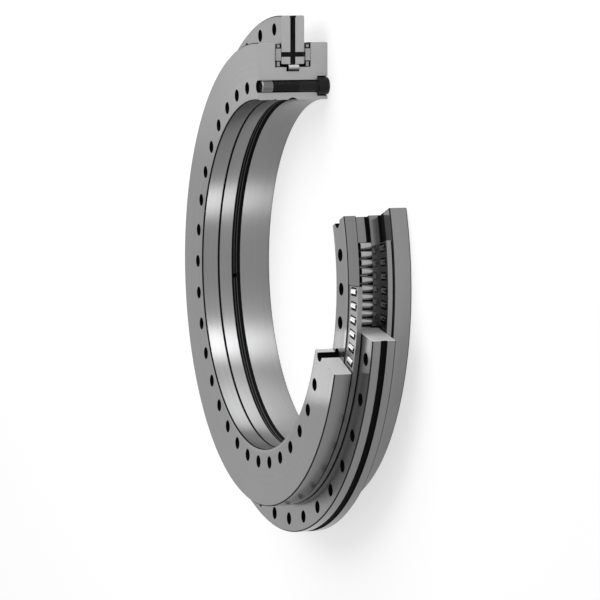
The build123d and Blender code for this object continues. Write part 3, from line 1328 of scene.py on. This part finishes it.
class BEARING_OT_hidden_rollers(bpy.types.Operator):
    """Adds the rollers of the three rows that the rings hide"""

    bl_idname = "bearing.hidden_rollers"
    bl_label = "Add the hidden rollers"

    def execute(self, context):
        rollers = context.scene.bearing_rollers
        rows = (
            ("front_axial_roller", "front_axial_row", rollers.axial_in_circle),
            ("rear_axial_roller", "rear_axial_row", rollers.axial_in_circle),
            ("radial_roller", "radial_row", rollers.radial_in_circle),
        )
        for stem, body, in_circle in rows:
            at_section = middle(stem + "_01")
            size = extent(stem + "_01")
            lies = stem != "radial_roller"
            length = size.x if lies else size.z
            diameter = size.z if lies else size.x
            pattern = add_cylinder(stem, diameter / 2, -length / 2, length / 2, rollers.sides)
            bevel_rims(pattern, diameter * ROLLER_CHAMFER)
            stand = Matrix.Rotation(math.radians(90), 4, "Y") if lies else Matrix.Identity(4)
            pattern.data.transform(Matrix.Translation(at_section) @ stand)
            pitch = 2 * math.pi / in_circle
            second = middle(stem + "_02")
            first_open = round(math.atan2(second.y, second.x) % (2 * math.pi) / pitch)
            turns = [Matrix.Rotation(pitch * place, 4, "Z") for place in range(1, first_open)]
            row = joined_copies(f"{stem}s_hidden", pattern, turns)
            row.data.materials.clear()
            row.data.materials.append(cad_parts[stem + "_02"].material_slots[0].material)
            smooth(row, angle=35.0)
            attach(row, body)
        return {"FINISHED"}


class BEARING_OT_retaining_screw(bpy.types.Operator):
    """Makes the socket head screw with its thread, and gives the sleeve its bright finish"""

    bl_idname = "bearing.retaining_screw"
    bl_label = "Make the retaining screw"

    def execute(self, context):
        sizes = context.scene.bearing_screw
        low, high = (corner.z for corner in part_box("retaining_screw"))
        outline = screw_outline(sizes, low, high, head=extent("retaining_screw").x / 2)
        screw = turned_solid("retaining_screw_threaded", sizes.sides, outline)
        cut_thread(
            screw,
            sizes.thread_start,
            sizes.thread_end - THREAD_CHAMFER / 2,
            sizes.shank_radius,
            sizes.thread_pitch,
            sizes.thread_depth,
        )
        cut_socket(screw, sizes.socket_width, low, sizes.socket_depth)
        screw.data.transform(Matrix.Translation((middle("retaining_screw").x, 0, 0)))
        screw.data.materials.clear()
        screw.data.materials.append(blackened_steel("screw_steel", sizes))
        smooth(screw, angle=40.0)
        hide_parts("retaining_screw")
        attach(screw, "inner_rings")
        dress("retaining_sleeve", sleeve_steel("sleeve_steel", sizes))
        return {"FINISHED"}


def background_rays(tree):
    """1 for the rays that show the background: from the camera, mirrored, or through glass."""
    path = tree.nodes.new("ShaderNodeLightPath")
    total = path.outputs["Is Camera Ray"]
    for kind in ("Is Glossy Ray", "Is Transmission Ray"):
        add = tree.nodes.new("ShaderNodeMath")
        add.operation = "ADD"
        add.use_clamp = True
        tree.links.new(total, add.inputs[0])
        tree.links.new(path.outputs[kind], add.inputs[1])
        total = add.outputs[0]
    return total


# How bright the lamps and the backdrop make the bare floor, against white.
FLOOR_LEVEL = 0.6


def floor_material(settings):
    """Pale matt floor. The rays that show the background see it as white that keeps the shadow."""
    material = bpy.data.materials.new("floor")
    material.use_nodes = True
    tree = material.node_tree
    tree.nodes.clear()
    matt = tree.nodes.new("ShaderNodeBsdfDiffuse")
    matt.inputs["Color"].default_value = (*settings.floor_colour, 1.0)
    faint = tree.nodes.new("ShaderNodeBsdfDiffuse")
    faint_colour = (part * settings.shadow_depth for part in settings.floor_colour)
    faint.inputs["Color"].default_value = (*faint_colour, 1.0)
    glow = tree.nodes.new("ShaderNodeEmission")
    glow.inputs["Strength"].default_value = 1.0 - settings.shadow_depth * FLOOR_LEVEL
    shown = tree.nodes.new("ShaderNodeAddShader")
    tree.links.new(faint.outputs[0], shown.inputs[0])
    tree.links.new(glow.outputs[0], shown.inputs[1])
    choice = tree.nodes.new("ShaderNodeMixShader")
    tree.links.new(background_rays(tree), choice.inputs["Fac"])
    tree.links.new(matt.outputs[0], choice.inputs[1])
    tree.links.new(shown.outputs[0], choice.inputs[2])
    out = tree.nodes.new("ShaderNodeOutputMaterial")
    tree.links.new(choice.outputs[0], out.inputs["Surface"])
    return material


def studio_world(settings):
    """White backdrop, which lights the bearing at a plain level."""
    world = bpy.data.worlds.new("studio")
    bpy.context.scene.world = world
    world.use_nodes = True
    tree = world.node_tree
    tree.nodes.clear()
    level = tree.nodes.new("ShaderNodeMapRange")
    level.inputs["To Min"].default_value = settings.ambient
    level.inputs["To Max"].default_value = 1.0
    tree.links.new(background_rays(tree), level.inputs["Value"])
    back = tree.nodes.new("ShaderNodeBackground")
    back.inputs["Color"].default_value = (1.0, 1.0, 1.0, 1.0)
    tree.links.new(level.outputs[0], back.inputs["Strength"])
    out = tree.nodes.new("ShaderNodeOutputWorld")
    tree.links.new(back.outputs[0], out.inputs["Surface"])


def add_softbox(name, place, aim, size, watts):
    """Square softbox at a place, turned to a point."""
    lamp = bpy.data.lights.new(name, "AREA")
    lamp.shape = "RECTANGLE"
    lamp.size, lamp.size_y = size
    lamp.energy = watts
    holder = bpy.data.objects.new(name, lamp)
    holder.location = place
    holder.rotation_euler = (Vector(aim) - Vector(place)).to_track_quat("-Z", "Y").to_euler()
    bpy.context.scene.collection.objects.link(holder)
    return holder


def only_mirrored(holder):
    """Leaves a lamp to be seen in polished steel alone."""
    holder.visible_diffuse = False
    holder.visible_camera = False


def add_bore_card(angle, reach, width, level):
    """Small glowing card inside the bore, which only the polished steel mirrors.

    It stands where the bore wall at this angle sends the main line of sight.
    """
    wall_turn = math.radians(angle)
    sight_turn = math.radians(2 * angle + SIGHT_AZIMUTH)
    outwards = Vector((math.cos(wall_turn), math.sin(wall_turn), 0.0))
    wall = outwards * BORE_RADIUS + Vector((0.0, 0.0, BORE_CARD_HEIGHT / 2))
    place = wall + reach * Vector((math.cos(sight_turn), math.sin(sight_turn), 0.0))
    watts = level * math.pi * width * BORE_CARD_HEIGHT
    card = add_softbox(f"bore_card_{angle:.0f}", place, wall, (width, BORE_CARD_HEIGHT), watts)
    card.data.spread = BORE_CARD_SPREAD
    only_mirrored(card)


# Width of the camera's sensor in millimetres, and how far it sees.
SENSOR_WIDTH = 36.0
FAR_CLIP = 100.0


def add_camera(settings):
    """Camera of the main view, turned about its line of sight."""
    aim = Vector(settings.camera_aim).normalized()
    side = aim.cross(Vector((0, 0, 1))).normalized()
    level_up = side.cross(aim)
    roll = settings.camera_roll
    up = level_up * math.cos(roll) + side * math.sin(roll)
    right = side * math.cos(roll) - level_up * math.sin(roll)
    view = bpy.data.cameras.new("camera")
    view.lens = settings.lens
    view.sensor_width = SENSOR_WIDTH
    view.clip_end = FAR_CLIP
    camera = bpy.data.objects.new("camera", view)
    bpy.context.scene.collection.objects.link(camera)
    turn = Matrix((right, up, -aim)).transposed().to_4x4()
    camera.matrix_world = Matrix.Translation(settings.camera_place) @ turn
    bpy.context.scene.camera = camera


class BEARING_OT_stage(bpy.types.Operator):
    """Adds the pale floor, the soft lamps and the camera"""

    bl_idname = "bearing.stage"
    bl_label = "Set the stage"

    def execute(self, context):
        settings = context.scene.bearing_stage
        nothing_selected()
        bpy.ops.mesh.primitive_plane_add(size=settings.floor_size)
        floor = context.active_object
        floor.name = "floor"
        floor.data.materials.append(floor_material(settings))
        studio_world(settings)
        add_softbox(*KEY_SOFTBOX)
        for card in MIRRORED_CARDS:
            only_mirrored(add_softbox(*card))
        for card in BORE_CARDS:
            add_bore_card(*card)
        add_camera(settings)
        context.scene.view_settings.view_transform = "Standard"
        return {"FINISHED"}


OPERATORS = (
    BEARING_OT_rings,
    BEARING_OT_cages,
    BEARING_OT_open_rollers,
    BEARING_OT_hidden_rollers,
    BEARING_OT_retaining_screw,
    BEARING_OT_stage,
)


class BEARING_PT_panel(bpy.types.Panel):
    """Sizes, finishes and steps of the bearing"""

    bl_idname = "BEARING_PT_panel"
    bl_label = "Bearing"
    bl_space_type = "VIEW_3D"
    bl_region_type = "UI"
    bl_category = "Bearing"

    def draw(self, context):
        for group in GROUPS:
            settings = getattr(context.scene, group)
            column = self.layout.column(align=True)
            for name in settings.bl_rna.properties.keys():
                if name not in ("rna_type", "name"):
                    column.prop(settings, name)
        for operator in OPERATORS:
            self.layout.operator(operator.bl_idname)


def register():
    for group in GROUPS.values():
        bpy.utils.register_class(group)
    for name, group in GROUPS.items():
        setattr(bpy.types.Scene, name, PointerProperty(type=group))
    for item in (*OPERATORS, BEARING_PT_panel):
        bpy.utils.register_class(item)


def unregister():
    for item in reversed((*OPERATORS, BEARING_PT_panel)):
        bpy.utils.unregister_class(item)
    for name in GROUPS:
        delattr(bpy.types.Scene, name)
    for group in reversed(GROUPS.values()):
        bpy.utils.unregister_class(group)


def main():
    """Builds the whole scene."""
    register()
    bpy.ops.bearing.rings()
    bpy.ops.bearing.cages()
    bpy.ops.bearing.open_rollers()
    bpy.ops.bearing.hidden_rollers()
    bpy.ops.bearing.retaining_screw()
    bpy.ops.bearing.stage()


if __name__ == "__main__":
    main()
